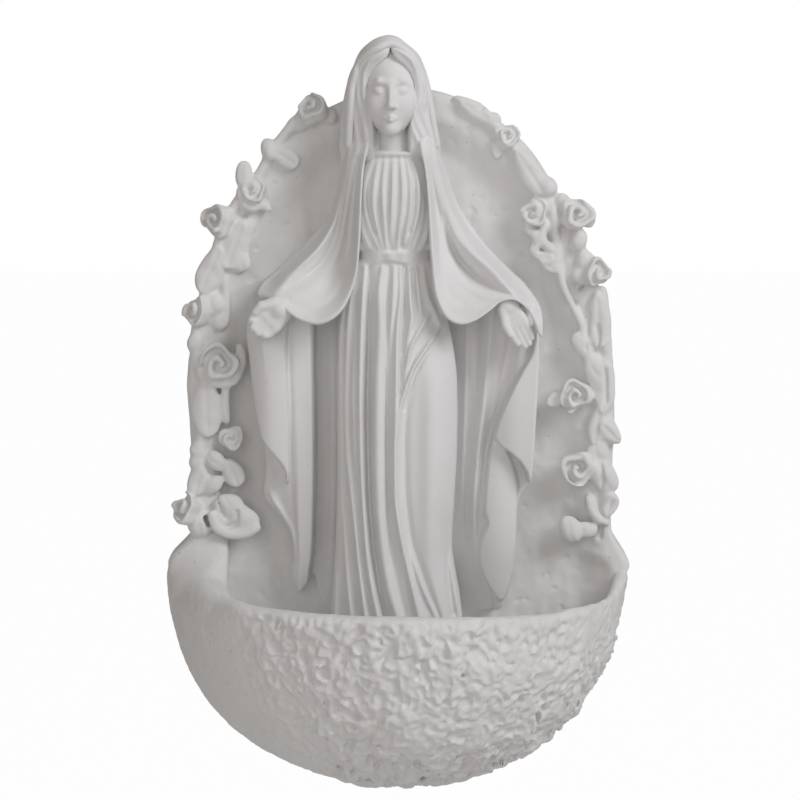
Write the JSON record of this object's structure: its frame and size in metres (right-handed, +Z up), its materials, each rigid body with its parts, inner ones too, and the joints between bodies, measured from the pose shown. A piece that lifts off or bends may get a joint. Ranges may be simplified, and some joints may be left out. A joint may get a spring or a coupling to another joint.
{
  "type": "holy water stoup",
  "caption": "Wall-hung plaster holy water stoup: half-round rough basin below an arched slab with a standing robed figure in high relief between climbing roses.",
  "frame": {"origin": "the point of the wall plane behind the middle of the hanging wire, near the top of the back", "axes": "+Y into the wall, +Z up, +X to the right of someone who faces the stoup"},
  "size_m": [0.196, 0.098, 0.3123],
  "materials": {
    "plaster_slab": "matte cast plaster, rough",
    "plaster_rock": "matte cast plaster, rock texture",
    "plaster_figure": "matte cast plaster, smooth",
    "plaster_flowers": "matte cast plaster",
    "galvanised_wire": "dull zinc"
  },
  "bodies": {
    "root": {"back_slab": "plaster_slab", "basin": "plaster_rock", "gown_bodice": "plaster_figure", "gown_skirt": "plaster_figure", "hair_left": "plaster_figure", "hair_right": "plaster_figure", "hand_left": "plaster_figure", "hand_right": "plaster_figure", "hanging_wire": "galvanised_wire", "head": "plaster_figure", "leaves_left": "plaster_flowers", "leaves_right": "plaster_flowers", "mantle_cape_left": "plaster_figure", "mantle_cape_right": "plaster_figure", "mantle_fall_left": "plaster_figure", "mantle_fall_right": "plaster_figure", "rose_left_1": "plaster_flowers", "rose_left_10": "plaster_flowers", "rose_left_11": "plaster_flowers", "rose_left_2": "plaster_flowers", "rose_left_3": "plaster_flowers", "rose_left_4": "plaster_flowers", "rose_left_5": "plaster_flowers", "rose_left_6": "plaster_flowers", "rose_left_7": "plaster_flowers", "rose_left_8": "plaster_flowers", "rose_left_9": "plaster_flowers", "rose_right_1": "plaster_flowers", "rose_right_2": "plaster_flowers", "rose_right_3": "plaster_flowers", "rose_right_4": "plaster_flowers", "rose_right_5": "plaster_flowers", "rose_right_6": "plaster_flowers", "rose_right_7": "plaster_flowers", "rose_right_8": "plaster_flowers", "rose_right_9": "plaster_flowers", "sash": "plaster_figure", "veil": "plaster_figure", "vine_left": "plaster_flowers", "vine_right": "plaster_flowers"}
  },
  "joints": []
}
